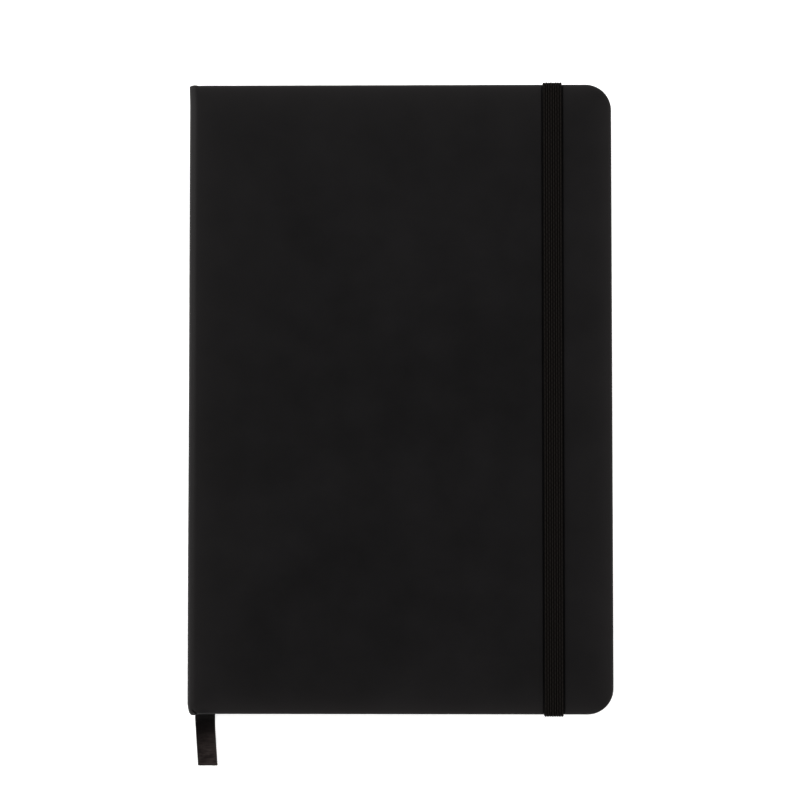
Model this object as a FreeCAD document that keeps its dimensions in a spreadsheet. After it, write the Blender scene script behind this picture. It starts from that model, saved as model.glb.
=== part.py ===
"""Pocket notebook with a hard cover, sewn pages, an elastic closure band and a ribbon marker.

The notebook lies closed on its back cover. X runs from the spine to the fore-edge, Y from the tail
to the head and Z from the back cover to the front cover. The origin is the middle of the back
cover's outer face. Everything is in millimetres.
"""

import FreeCAD, Part
import math
import os

import Sketcher

Vector = FreeCAD.Vector
PARTS_FOLDER = "parts"

# The driving sizes: name, value and what it is.
SIZES = [
    ("cover_width", 95.0, "closed cover from the spine to the fore-edge"),
    ("cover_height", 141.0, "cover from the tail to the head"),
    ("skin_thick", 0.4, "leatherette"),
    ("board_thick", 1.6, "greyboard in each cover"),
    ("corner_radius", 5.8, "cover corner at the fore-edge"),
    ("edge_round", 0.6, "rounding of the cover's outer edges"),
    ("turn_in", 12.0, "leatherette folded over onto the inside of the board"),
    ("turn_in_corner", 2.0, "inner corner of the turned-in leatherette"),
    ("shoulder_radius", 2.0, "rounded joint between a cover and the spine"),
    ("joint_notch", 0.4, "how far the joint stops short of the cover's head and tail"),
    ("joint_gap", 0.2, "board's edge from the start of the joint"),
    ("card_thick", 0.8, "card in the spine"),
    ("card_gap", 0.1, "card's edge from the start of the joint"),
    ("spine_lip", 0.25, "how far the spine stands out past the covers' head and tail"),
    ("lip_round", 0.5, "rounding of the spine's ends"),
    ("layer_gap", 0.05, "free space between layers of the spine"),
    ("lining_thick", 0.2, "gauze lining on the sewn backs"),
    ("lining_height", 116.0, "gauze lining from tail to head"),
    ("lining_inset", 0.2, "gauze lining from the endpapers"),
    ("endpaper_thick", 0.15, "pastedown or flyleaf"),
    ("endpaper_margin", 2.0, "cover's edge past the pastedown"),
    ("endpaper_corner", 4.0, "pastedown's corner"),
    ("leaf_thick", 0.1, "one leaf of the pages"),
    ("leaves", 8.0, "leaves in a folded signature"),
    ("half_signatures", 6.0, "signatures in each half of the pages"),
    ("page_margin", 2.5, "cover's edge past the pages"),
    ("page_corner", 4.8, "page corner at the fore-edge"),
    ("fold_round", 0.3, "rounding of a signature's folded back"),
    ("fold_depth", 0.4, "innermost fold of a signature from its back"),
    ("thread_thick", 0.25, "sewing thread"),
    ("thread_clearance", 0.02, "paper round the thread"),
    ("thread_bend", 0.18, "sewing thread's bends"),
    ("kettle_reach", 57.0, "end stitches from the middle of the spine"),
    ("ribbon_width", 4.3, "ribbon marker"),
    ("ribbon_thick", 0.25, "ribbon marker"),
    ("ribbon_gap", 0.3, "space that the ribbon holds open between the middle leaves"),
    ("ribbon_bend", 4.4, "ribbon's two bends past the tail, about its own width"),
    ("ribbon_glued", 8.5, "ribbon's end under the gauze lining"),
    ("elastic_width", 4.5, "elastic band"),
    ("elastic_thick", 0.5, "elastic band"),
    ("elastic_inset", 13.5, "middle of the elastic band from the fore-edge"),
    ("elastic_inner_bend", 0.5, "inside of the band's bend over the front cover's edge"),
    ("elastic_outer_bend", 1.0, "outside of that bend"),
]

# The ribbon's route after its glued end, as (across, along, up): flat between the middle leaves to
# the tail, down past the back cover's edge, and flat on the surface that the notebook lies on.
RIBBON_ROUTE = [
    Vector(-43.60, 67.50, 7.25),
    Vector(-43.60, -70.30, 7.25),
    Vector(-43.60, -74.40, 0.13),
    Vector(-43.60, -83.00, 0.13),
]

doc = FreeCAD.newDocument("pocket_notebook")
sheet = doc.addObject("Spreadsheet::Sheet", "Sizes")
for row, (alias, size, meaning) in enumerate(SIZES, start=1):
    sheet.set(f"A{row}", meaning)
    sheet.set(f"B{row}", str(size))
    sheet.setAlias(f"B{row}", alias)
doc.recompute()

# Places and thicknesses worked out from the driving sizes, as expressions for the sheet.
FORE_EDGE = "(Sizes.cover_width / 2)"
HEAD = "(Sizes.cover_height / 2)"
COVER = "(Sizes.skin_thick + Sizes.board_thick)"
HALF_PAGES = "(Sizes.half_signatures * Sizes.leaves * Sizes.leaf_thick)"
PAGES_LOW = f"({COVER} + 2 * Sizes.endpaper_thick)"
MIDDLE = f"({PAGES_LOW} + {HALF_PAGES} + Sizes.ribbon_gap / 2)"
CLOSED = f"(2 * {MIDDLE})"
SHOULDER = f"(Sizes.shoulder_radius - {FORE_EDGE})"
BOARD_BACK = f"({SHOULDER} + Sizes.joint_gap)"
SPINE_FACE = f"(0 - {FORE_EDGE})"
CARD_FACE = f"({SPINE_FACE} + Sizes.skin_thick)"
CARD_BACK = f"({CARD_FACE} + Sizes.card_thick)"
LINING_FACE = f"({CARD_BACK} + Sizes.layer_gap)"
GLUE_FACE = f"({LINING_FACE} + Sizes.lining_thick + Sizes.layer_gap)"
FOLD = f"({GLUE_FACE} + Sizes.ribbon_thick)"
PAGE_EDGE = f"({FORE_EDGE} - Sizes.page_margin)"
PAGE_HEAD = f"({HEAD} - Sizes.page_margin)"
ELASTIC_MIDDLE = f"({FORE_EDGE} - Sizes.elastic_inset)"
ELASTIC_SIDE = f"({ELASTIC_MIDDLE} - Sizes.elastic_width / 2)"
HALVES = ("front", "back")

finished = []


def value(expression):
    """The number that an expression on the sheet stands for."""
    return float(sheet.evalExpression(expression))


def finish(piece, name):
    """Give a finished sub-part its name and put it on the list to write."""
    piece.Label = name
    finished.append(piece)
    return piece


def new_body(name):
    return doc.addObject("PartDesign::Body", f"{name}_body")


def new_sketch(part, role, height="0"):
    """An empty sketch on one of the body's own planes, lifted along that plane's normal."""
    plane = next(item for item in part.Origin.OriginFeatures if item.Role == role)
    sketch = part.newObject("Sketcher::SketchObject", "outline")
    sketch.AttachmentSupport = [(plane, "")]
    sketch.MapMode = "FlatFace"
    sketch.setExpression("AttachmentOffset.Base.z", height)
    return sketch


def bind(sketch, kind, where, expression):
    """Add a size constraint whose value follows the sheet."""
    index = sketch.addConstraint(Sketcher.Constraint(kind, *where, value(expression)))
    sketch.setExpression(f"Constraints[{index}]", expression)


def square_outline(sketch, corners):
    """A closed outline of level and upright runs, through corners given as two expressions each."""
    count = len(corners)
    points = [Vector(value(across), value(up), 0) for across, up in corners]
    for index in range(count):
        sketch.addGeometry(Part.LineSegment(points[index], points[(index + 1) % count]), False)
    for index in range(count):
        sketch.addConstraint(Sketcher.Constraint("Coincident", index, 2, (index + 1) % count, 1))
    for index, (across, up) in enumerate(corners):
        if corners[(index + 1) % count][0] == across:
            sketch.addConstraint(Sketcher.Constraint("Vertical", index))
            bind(sketch, "DistanceX", (-1, 1, index, 1), across)
        else:
            sketch.addConstraint(Sketcher.Constraint("Horizontal", index))
            bind(sketch, "DistanceY", (-1, 1, index, 1), up)


def rectangle(sketch, left, right, low, high):
    square_outline(sketch, [(left, low), (right, low), (right, high), (left, high)])


def leaf_outline(sketch, left, right, half, radius):
    """A rectangle with square corners on the left and rounded corners on the right."""
    x0, x1, y1, r = value(left), value(right), value(half), value(radius)
    quarter = math.pi / 2
    sketch.addGeometry(Part.LineSegment(Vector(x0, -y1, 0), Vector(x1 - r, -y1, 0)), False)
    low = Part.Circle(Vector(x1 - r, r - y1, 0), Vector(0, 0, 1), r)
    sketch.addGeometry(Part.ArcOfCircle(low, -quarter, 0), False)
    sketch.addGeometry(Part.LineSegment(Vector(x1, r - y1, 0), Vector(x1, y1 - r, 0)), False)
    high = Part.Circle(Vector(x1 - r, y1 - r, 0), Vector(0, 0, 1), r)
    sketch.addGeometry(Part.ArcOfCircle(high, 0, quarter), False)
    sketch.addGeometry(Part.LineSegment(Vector(x1 - r, y1, 0), Vector(x0, y1, 0)), False)
    sketch.addGeometry(Part.LineSegment(Vector(x0, y1, 0), Vector(x0, -y1, 0)), False)
    for index in range(4):
        sketch.addConstraint(Sketcher.Constraint("Tangent", index, 2, index + 1, 1))
    sketch.addConstraint(Sketcher.Constraint("Coincident", 4, 2, 5, 1))
    sketch.addConstraint(Sketcher.Constraint("Coincident", 5, 2, 0, 1))
    sketch.addConstraint(Sketcher.Constraint("Horizontal", 0))
    sketch.addConstraint(Sketcher.Constraint("Vertical", 2))
    sketch.addConstraint(Sketcher.Constraint("Horizontal", 4))
    sketch.addConstraint(Sketcher.Constraint("Vertical", 5))
    bind(sketch, "DistanceY", (-1, 1, 0, 1), f"0 - {half}")
    bind(sketch, "DistanceY", (-1, 1, 4, 2), half)
    bind(sketch, "DistanceX", (-1, 1, 2, 1), right)
    bind(sketch, "DistanceX", (-1, 1, 5, 1), left)
    bind(sketch, "Radius", (1,), radius)
    bind(sketch, "Radius", (3,), radius)


def pad(part, sketch, length):
    feature = part.newObject("PartDesign::Pad", "pad")
    feature.Profile = sketch
    feature.setExpression("Length", length)
    doc.recompute()
    return feature


def pocket(part, sketch, length, both_ways=False):
    """Cut against the sketch's normal, or both ways from it, and make sure that it cuts."""
    before = part.Shape.Volume
    feature = part.newObject("PartDesign::Pocket", "pocket")
    feature.Profile = sketch
    feature.SideType = "Symmetric" if both_ways else "One side"
    feature.setExpression("Length", length)
    doc.recompute()
    if part.Shape.Volume >= before:
        raise RuntimeError(f"{part.Name}: a pocket cuts nothing")
    return feature


def fillet(part, chosen, radius):
    """Round the edges of the body that chosen(edge) accepts."""
    base = part.Tip
    edges = [f"Edge{n}" for n, edge in enumerate(base.Shape.Edges, start=1) if chosen(edge)]
    if not edges:
        raise RuntimeError(f"{part.Name}: no edge to round")
    feature = part.newObject("PartDesign::Fillet", "fillet")
    feature.Base = (base, edges)
    feature.setExpression("Radius", radius)
    doc.recompute()
    return feature


def box(name, low, size):
    """A plain block from three expressions for its low corner and three for its size."""
    block = doc.addObject("Part::Box", name)
    for side, expression in zip(("Length", "Width", "Height"), size):
        block.setExpression(side, expression)
    for axis, expression in zip("xyz", low):
        block.setExpression(f"Placement.Base.{axis}", expression)
    return block


def put_half(part, half):
    """Leave a back piece where it is made, or turn a front piece over about the X axis."""
    if half == "front":
        part.Placement = FreeCAD.Placement(Vector(), FreeCAD.Rotation(Vector(1, 0, 0), 180))
        part.setExpression("Placement.Base.z", CLOSED)


def make_board(half):
    """A cover's board, thinner by the leatherette's thickness under the turn-ins."""
    part = new_body(f"{half}_board")
    step = "(Sizes.board_thick - Sizes.skin_thick)"
    whole = new_sketch(part, "XY_Plane", "Sizes.skin_thick")
    reach = f"({FORE_EDGE} - Sizes.skin_thick)"
    half_height = f"({HEAD} - Sizes.skin_thick)"
    corner = "(Sizes.corner_radius - Sizes.skin_thick)"
    leaf_outline(whole, BOARD_BACK, reach, half_height, corner)
    pad(part, whole, step)
    raised = new_sketch(part, "XY_Plane", f"Sizes.skin_thick + {step}")
    inner_reach = f"({FORE_EDGE} - Sizes.turn_in)"
    inner_half = f"({HEAD} - Sizes.turn_in)"
    leaf_outline(raised, BOARD_BACK, inner_reach, inner_half, "Sizes.turn_in_corner")
    pad(part, raised, "Sizes.skin_thick")
    put_half(part, half)
    return finish(part, f"{half}_board")


def make_cover_skin(half):
    """Leatherette round a cover's board, open on the spine side, with its three turn-ins."""
    part = new_body(f"{half}_cover_skin")
    outer = new_sketch(part, "XY_Plane")
    leaf_outline(outer, SHOULDER, FORE_EDGE, HEAD, "Sizes.corner_radius")
    pad(part, outer, COVER)
    spine_side = value(SHOULDER)
    low_face, high_face = 0.0, value(COVER)

    def outer_edge(edge):
        box_of_edge = edge.BoundBox
        level = box_of_edge.ZLength < 1e-6
        on_a_face = min(abs(box_of_edge.ZMin - low_face), abs(box_of_edge.ZMin - high_face)) < 1e-6
        return level and on_a_face and box_of_edge.XMax > spine_side + 1

    fillet(part, outer_edge, "Sizes.edge_round")
    past = f"({SHOULDER} - Sizes.shoulder_radius)"
    for_board = new_sketch(part, "XY_Plane", f"{COVER} - Sizes.skin_thick")
    reach = f"({FORE_EDGE} - Sizes.skin_thick)"
    half_height = f"({HEAD} - Sizes.skin_thick)"
    corner = "(Sizes.corner_radius - Sizes.skin_thick)"
    leaf_outline(for_board, past, reach, half_height, corner)
    pocket(part, for_board, "Sizes.board_thick - Sizes.skin_thick")
    opening = new_sketch(part, "XY_Plane", COVER)
    inner_reach = f"({FORE_EDGE} - Sizes.turn_in)"
    inner_half = f"({HEAD} - Sizes.turn_in)"
    leaf_outline(opening, past, inner_reach, inner_half, "Sizes.turn_in_corner")
    pocket(part, opening, "Sizes.skin_thick")
    if half == "back":
        slots = new_sketch(part, "XY_Plane", COVER)
        far = f"({HEAD} + Sizes.elastic_thick)"
        right = f"({ELASTIC_SIDE} + Sizes.elastic_width)"
        rectangle(slots, ELASTIC_SIDE, right, f"0 - {far}", far)
        pocket(part, slots, "Sizes.skin_thick")
    put_half(part, half)
    return finish(part, f"{half}_cover_skin")


def make_joint_skin(half):
    """The quarter-round shoulder of leatherette between a cover and the spine."""
    turn = 90 if half == "back" else 180
    along_y = FreeCAD.Rotation(Vector(1, 0, 0), -90)
    rotation = FreeCAD.Rotation(Vector(0, 1, 0), turn).multiply(along_y)
    centre = "Sizes.shoulder_radius"
    if half == "front":
        centre = f"{CLOSED} - Sizes.shoulder_radius"
    sides = []
    for radius in ("Sizes.shoulder_radius", "Sizes.shoulder_radius - Sizes.skin_thick"):
        side = doc.addObject("Part::Cylinder", f"{half}_joint_side")
        side.Angle = 90
        side.Placement = FreeCAD.Placement(Vector(), rotation)
        side.setExpression("Radius", radius)
        side.setExpression("Height", "Sizes.cover_height - 2 * Sizes.joint_notch")
        side.setExpression("Placement.Base.x", SHOULDER)
        side.setExpression("Placement.Base.y", f"Sizes.joint_notch - {HEAD}")
        side.setExpression("Placement.Base.z", centre)
        sides.append(side)
    joint = doc.addObject("Part::Cut", f"{half}_joint")
    joint.Base, joint.Tool = sides
    return finish(joint, f"{half}_joint_skin")


def spine_sizes():
    """The spine's end, the end of its card and the start of its turn-ins, up from the middle."""
    end = f"({HEAD} + Sizes.spine_lip)"
    card_end = f"({end} - Sizes.skin_thick)"
    turned = f"({end} - Sizes.turn_in)"
    rebate = f"({CARD_BACK} - Sizes.skin_thick)"
    return end, card_end, turned, rebate


def make_spine_skin():
    """Leatherette on the spine, folded over both ends of the card."""
    end, card_end, turned, rebate = spine_sizes()
    part = new_body("spine_skin")
    profile = new_sketch(part, "XY_Plane", "Sizes.shoulder_radius")
    upper = [
        (CARD_FACE, card_end),
        (rebate, card_end),
        (rebate, turned),
        (CARD_BACK, turned),
        (CARD_BACK, end),
        (SPINE_FACE, end),
    ]
    lower = [(across, f"0 - {up}") for across, up in reversed(upper)]
    square_outline(profile, upper + lower)
    pad(part, profile, f"{CLOSED} - 2 * Sizes.shoulder_radius")
    tip = value(end)

    def end_edge(edge):
        middle = edge.BoundBox.Center
        upright = edge.BoundBox.ZLength > 1
        return upright and abs(abs(middle.y) - tip) < 1e-6

    fillet(part, end_edge, "Sizes.lip_round")
    return finish(part, "spine_skin")


def make_spine_strip():
    """The card that stiffens the spine, thinner under the turn-ins at both ends."""
    end, card_end, turned, rebate = spine_sizes()
    part = new_body("spine_strip")
    profile = new_sketch(part, "XY_Plane", "Sizes.shoulder_radius + Sizes.card_gap")
    upper = [
        (CARD_BACK, turned),
        (rebate, turned),
        (rebate, card_end),
        (CARD_FACE, card_end),
    ]
    lower = [(across, f"0 - {up}") for across, up in reversed(upper)]
    square_outline(profile, upper + lower)
    pad(part, profile, f"{CLOSED} - 2 * Sizes.shoulder_radius - 2 * Sizes.card_gap")
    return finish(part, "spine_strip")


def make_spine_lining():
    """Gauze glued over the sewn backs of the signatures."""
    low = f"{PAGES_LOW} + Sizes.lining_inset"
    lining = box(
        "lining",
        (LINING_FACE, "0 - Sizes.lining_height / 2", low),
        ("Sizes.lining_thick", "Sizes.lining_height", f"{CLOSED} - 2 * ({low})"),
    )
    return finish(lining, "spine_lining")


def make_pastedown(half):
    """The endpaper's glued half, on the inside of a cover."""
    part = new_body(f"{half}_pastedown")
    sheet_of_paper = new_sketch(part, "XY_Plane", COVER)
    reach = f"({FORE_EDGE} - Sizes.endpaper_margin)"
    half_height = f"({HEAD} - Sizes.endpaper_margin)"
    leaf_outline(sheet_of_paper, BOARD_BACK, reach, half_height, "Sizes.endpaper_corner")
    pad(part, sheet_of_paper, "Sizes.endpaper_thick")
    put_half(part, half)
    return finish(part, f"{half}_pastedown")


def make_leaf(name, left, low, thickness):
    """A single leaf that lies flat at the given height."""
    part = new_body(name)
    sheet_of_paper = new_sketch(part, "XY_Plane", low)
    leaf_outline(sheet_of_paper, left, PAGE_EDGE, PAGE_HEAD, "Sizes.page_corner")
    pad(part, sheet_of_paper, thickness)
    return finish(part, name)


def make_signature(name, low, thickness):
    """A folded signature, with a rounded back and the holes that its thread runs in."""
    part = new_body(name)
    pages = new_sketch(part, "XY_Plane")
    leaf_outline(pages, FOLD, PAGE_EDGE, PAGE_HEAD, "Sizes.page_corner")
    pad(part, pages, thickness)
    back = value(FOLD)

    def folded_edge(edge):
        along = edge.BoundBox.YLength > 100
        return along and abs(edge.BoundBox.Center.x - back) < 1e-6

    fillet(part, folded_edge, "Sizes.fold_round")
    thread_x = f"({FOLD} + Sizes.fold_depth + Sizes.thread_thick / 2)"
    hole_radius = "(Sizes.thread_thick / 2 + Sizes.thread_clearance)"
    along_fold = new_sketch(part, "XZ_Plane")
    add_hole(along_fold, thread_x, f"{thickness} / 2", hole_radius)
    pocket(part, along_fold, f"2 * (Sizes.kettle_reach + {hole_radius})", both_ways=True)
    through_fold = new_sketch(part, "YZ_Plane", thread_x)
    for side in ("", "0 - "):
        add_hole(through_fold, f"{side}Sizes.kettle_reach", f"{thickness} / 2", hole_radius)
    pocket(part, through_fold, "Sizes.fold_depth + Sizes.thread_thick")
    part.setExpression("Placement.Base.z", low)
    return finish(part, name)


def add_hole(sketch, across, up, radius):
    """A circle in a sketch, with its centre and radius bound to the sheet."""
    centre = Vector(value(across), value(up), 0)
    index = sketch.addGeometry(Part.Circle(centre, Vector(0, 0, 1), value(radius)), False)
    bind(sketch, "DistanceX", (-1, 1, index, 3), across)
    bind(sketch, "DistanceY", (-1, 1, index, 3), up)
    bind(sketch, "Radius", (index,), radius)


def tangent_path(route, radius):
    """Straight runs through the route, joined by tangent arcs of one radius."""
    edges = []
    start = route[0]
    for before, corner, after in zip(route, route[1:], route[2:]):
        into, away = (corner - before).normalize(), (after - corner).normalize()
        half_turn = into.getAngle(away) / 2
        trim = radius * math.tan(half_turn)
        arc_start, arc_end = corner - into * trim, corner + away * trim
        towards_centre = (away - into).normalize()
        arc_middle = corner + towards_centre * (radius / math.cos(half_turn) - radius)
        edges.append(Part.LineSegment(start, arc_start).toShape())
        edges.append(Part.Arc(arc_start, arc_middle, arc_end).toShape())
        start = arc_end
    edges.append(Part.LineSegment(start, route[-1]).toShape())
    return Part.Wire(edges)


def sweep(name, section, area, path, frenet):
    """A solid of one section along a path, checked against its section times its length."""
    piece = doc.addObject("Part::Feature", f"{name}_sweep")
    piece.Shape = path.makePipeShell([section], True, frenet)
    piece.Placement = FreeCAD.Placement()
    volume, expected = piece.Shape.Volume, area * path.Length
    print(f"{name}: length {path.Length:.2f}, volume {volume:.3f}, expected {expected:.3f}")
    if abs(volume - expected) > 0.01 * expected:
        raise RuntimeError(f"{name}: its volume isn't its section times its length")
    return finish(piece, name)


def make_thread(name, middles):
    """One continuous thread: along inside each fold, out at its end, up and into the next fold."""
    outside = value(FOLD) - value("Sizes.thread_thick") / 2
    inside = value(FOLD) + value("Sizes.fold_depth") + value("Sizes.thread_thick") / 2
    end = value("Sizes.kettle_reach")
    route = [Vector(inside, -end, value(middles[0]))]
    for here, above in zip(middles, middles[1:] + [None]):
        end_now = -math.copysign(end, route[-1].y)
        route.append(Vector(inside, end_now, value(here)))
        if above:
            route.append(Vector(outside, end_now, value(here)))
            route.append(Vector(outside, end_now, value(above)))
            route.append(Vector(inside, end_now, value(above)))
    radius = value("Sizes.thread_thick") / 2
    circle = Part.Circle(route[0], Vector(0, 1, 0), radius)
    path = tangent_path(route, value("Sizes.thread_bend"))
    sweep(name, Part.Wire([circle.toShape()]), math.pi * radius**2, path, frenet=True)


def make_pages():
    """Both halves of the pages: signatures, the two middle leaves, flyleaves and threads."""
    whole = "(Sizes.leaves * Sizes.leaf_thick)"
    short = "((Sizes.leaves - 1) * Sizes.leaf_thick)"
    count = int(value("Sizes.half_signatures"))
    inner_leaf = f"({FOLD} + Sizes.fold_depth)"
    middles = {"front": [], "back": []}
    for order in range(count):
        thickness = short if order == count - 1 else whole
        low = f"({PAGES_LOW} + {order} * {whole})"
        make_signature(f"signature_{2 * count - order:02d}", low, thickness)
        middles["back"].append(f"({low} + {thickness} / 2)")
    gap_top = f"({MIDDLE} + Sizes.ribbon_gap / 2)"
    for order in range(count):
        thickness = short if order == 0 else whole
        start = "Sizes.leaf_thick" if order == 0 else f"{order} * {whole}"
        low = f"({gap_top} + {start})"
        make_signature(f"signature_{count - order:02d}", low, thickness)
        middles["front"].append(f"({low} + {thickness} / 2)")
    rear_leaf = f"({MIDDLE} - Sizes.ribbon_gap / 2 - Sizes.leaf_thick)"
    make_leaf("middle_leaf_rear", inner_leaf, rear_leaf, "Sizes.leaf_thick")
    make_leaf("middle_leaf_front", inner_leaf, gap_top, "Sizes.leaf_thick")
    fly_low = f"({COVER} + Sizes.endpaper_thick)"
    make_leaf("back_flyleaf", FOLD, fly_low, "Sizes.endpaper_thick")
    make_leaf("front_flyleaf", FOLD, f"({CLOSED} - {PAGES_LOW})", "Sizes.endpaper_thick")
    for half in HALVES:
        make_thread(f"sewing_thread_{half}", middles[half])


def make_elastic():
    """The closure band and its two ends, which are glued under the back pastedown."""
    part = new_body("elastic_band")
    profile = new_sketch(part, "YZ_Plane", ELASTIC_SIDE)
    outside = f"({HEAD} + Sizes.elastic_thick)"
    start = f"({COVER} - Sizes.skin_thick)"
    top = f"({CLOSED} + Sizes.elastic_thick)"
    corners = [
        (f"(0 - {outside})", start),
        (f"(0 - {HEAD})", start),
        (f"(0 - {HEAD})", CLOSED),
        (HEAD, CLOSED),
        (HEAD, start),
        (outside, start),
        (outside, top),
        (f"(0 - {outside})", top),
    ]
    square_outline(profile, corners)
    pad(part, profile, "Sizes.elastic_width")

    def bend_at(height):
        def chosen(edge):
            centre = edge.BoundBox.Center
            across = edge.BoundBox.XLength > 1
            return across and abs(centre.z - value(height)) < 1e-6

        return chosen

    fillet(part, bend_at(top), "Sizes.elastic_outer_bend")
    fillet(part, bend_at(CLOSED), "Sizes.elastic_inner_bend")
    finish(part, "elastic_band")
    for name, low in (("head", f"{HEAD} - Sizes.turn_in"), ("tail", f"0 - {HEAD}")):
        end = box(
            f"{name}_end",
            (ELASTIC_SIDE, low, start),
            ("Sizes.elastic_width", "Sizes.turn_in", "Sizes.skin_thick"),
        )
        finish(end, f"elastic_end_{name}")


def make_ribbon():
    """The ribbon marker and its end, glued under the gauze lining at the head."""
    width, thickness = value("Sizes.ribbon_width"), value("Sizes.ribbon_thick")
    first = RIBBON_ROUTE[0]
    low, high = first.z - thickness / 2, first.z + thickness / 2
    left, right = first.x - width / 2, first.x + width / 2
    corners = [(left, low), (right, low), (right, high), (left, high), (left, low)]
    section = Part.makePolygon([Vector(across, first.y, up) for across, up in corners])
    path = tangent_path(RIBBON_ROUTE, value("Sizes.ribbon_bend"))
    sweep("ribbon_marker", section, width * thickness, path, frenet=False)
    glued = box(
        "glued_end",
        (GLUE_FACE, f"{first.y} - Sizes.ribbon_glued", f"{MIDDLE} - Sizes.ribbon_width / 2"),
        ("Sizes.ribbon_thick", "Sizes.ribbon_glued", "Sizes.ribbon_width"),
    )
    finish(glued, "ribbon_glued_end")


def check_and_write():
    """Stop on any failed object or bad solid, then write each sub-part to its own file."""
    doc.recompute()
    for item in doc.Objects:
        if "Invalid" in item.State or "Error" in item.State:
            raise RuntimeError(f"{item.Label}: {item.State}")
    os.makedirs(PARTS_FOLDER, exist_ok=True)
    for piece in finished:
        shape = piece.Shape
        if shape.isNull() or not shape.isValid() or not shape.Solids:
            raise RuntimeError(f"{piece.Label}: its shape isn't a valid solid")
        shape.exportStep(os.path.join(PARTS_FOLDER, f"{piece.Label}.step"))
        print(f"{piece.Label}: {len(shape.Solids)} solid(s), {shape.Volume:.1f} mm3")


for cover in HALVES:
    make_board(cover)
    make_cover_skin(cover)
    make_joint_skin(cover)
    make_pastedown(cover)
make_spine_skin()
make_spine_strip()
make_spine_lining()
make_pages()
make_elastic()
make_ribbon()
check_and_write()
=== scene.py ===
import math
import random

import bmesh
import bpy
import numpy as np
from mathutils import Matrix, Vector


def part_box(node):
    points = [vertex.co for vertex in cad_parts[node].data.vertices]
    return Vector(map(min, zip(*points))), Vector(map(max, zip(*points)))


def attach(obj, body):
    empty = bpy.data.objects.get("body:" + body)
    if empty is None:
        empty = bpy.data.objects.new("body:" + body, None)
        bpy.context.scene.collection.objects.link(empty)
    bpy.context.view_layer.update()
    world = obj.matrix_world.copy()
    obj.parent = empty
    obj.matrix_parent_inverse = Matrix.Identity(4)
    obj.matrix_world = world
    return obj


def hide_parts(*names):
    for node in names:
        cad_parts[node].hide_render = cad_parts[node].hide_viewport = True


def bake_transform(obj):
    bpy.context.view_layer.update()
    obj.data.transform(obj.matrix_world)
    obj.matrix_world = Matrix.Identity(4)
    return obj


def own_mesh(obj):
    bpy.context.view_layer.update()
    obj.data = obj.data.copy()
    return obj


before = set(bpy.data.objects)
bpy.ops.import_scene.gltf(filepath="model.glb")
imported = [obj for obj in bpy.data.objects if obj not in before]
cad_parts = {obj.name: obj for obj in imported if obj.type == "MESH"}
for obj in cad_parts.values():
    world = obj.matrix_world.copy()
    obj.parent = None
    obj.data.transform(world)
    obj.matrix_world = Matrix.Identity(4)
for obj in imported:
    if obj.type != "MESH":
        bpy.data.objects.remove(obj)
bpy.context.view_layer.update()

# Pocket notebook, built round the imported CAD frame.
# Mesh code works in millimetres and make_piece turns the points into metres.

MM = 0.001
X, Y, Z = 0, 1, 2


def span(node, axis):
    """Lowest and highest coordinate of a CAD node along one axis, in millimetres."""
    low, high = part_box(node)
    return low[axis] / MM, high[axis] / MM


# ---------------------------------------------------------------- sizes from the CAD nodes

SPINE_FACE, CARD_BACK = span("spine_skin", X)
FORE_EDGE = span("front_cover_skin", X)[1]
COVER_HALF = span("front_cover_skin", Y)[1]
TOP = span("front_cover_skin", Z)[1]
MIDDLE = TOP / 2
SHOULDER_END = span("front_joint_skin", X)[1]
SHOULDER_BASE = span("front_joint_skin", Z)[0]
SHOULDER = TOP - SHOULDER_BASE
BOARD_BACK = span("front_board", X)[0]
COVER_THICK = TOP - span("front_cover_skin", Z)[0]
SKIN = TOP - span("front_board", Z)[1]
PAGE_EDGE = span("signature_01", X)[1]
PAGE_HALF = span("signature_01", Y)[1]
FOLD = span("signature_01", X)[0]
LEAF_BACK = span("middle_leaf_rear", X)[0]
LEAF = span("middle_leaf_rear", Z)[1] - span("middle_leaf_rear", Z)[0]

# ---------------------------------------------------------------- sizes of the visual detail

CORNER = 5.8          # radius of the cover's fore-edge corners
PAGE_CORNER = 4.8     # radius of the pages' fore-edge corners
EDGE_ROUND = 0.6      # rounding of the outer edge of the covers
SPINE_ROUND = 0.35, 0.9   # rounding of the spine's head and tail edge
INNER_ROUND = 0.1     # rounding of the cover's inner edge
TURN_IN = 12.0        # leatherette folded over onto the inside of a board
JOINT_THICK = 1.0     # doubled skin at the head and tail of a joint
GLUE_GAP = 0.02       # keeps the skin's inner faces off the boards
SHEET = 0.082         # a leaf of paper, which leaves a hairline to its neighbour
BEND_START = LEAF_BACK
BEND_END = -39.5      # the leaves have left the spine's turn by here
BAND_MIDDLE = 34.25   # the elastic lies this far towards the fore-edge
BAND_WIDTH = 4.2
GAUZE_PITCH = 1.1     # from one thread of the lining to the next
RULE_PITCH = 6.0      # from one rule on the pages to the next
RULE_WIDTH = 0.22
RULED_HALF = 58.5     # the highest and lowest rules are nearer to the middle than this


# ---------------------------------------------------------------- mesh helpers


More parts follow.
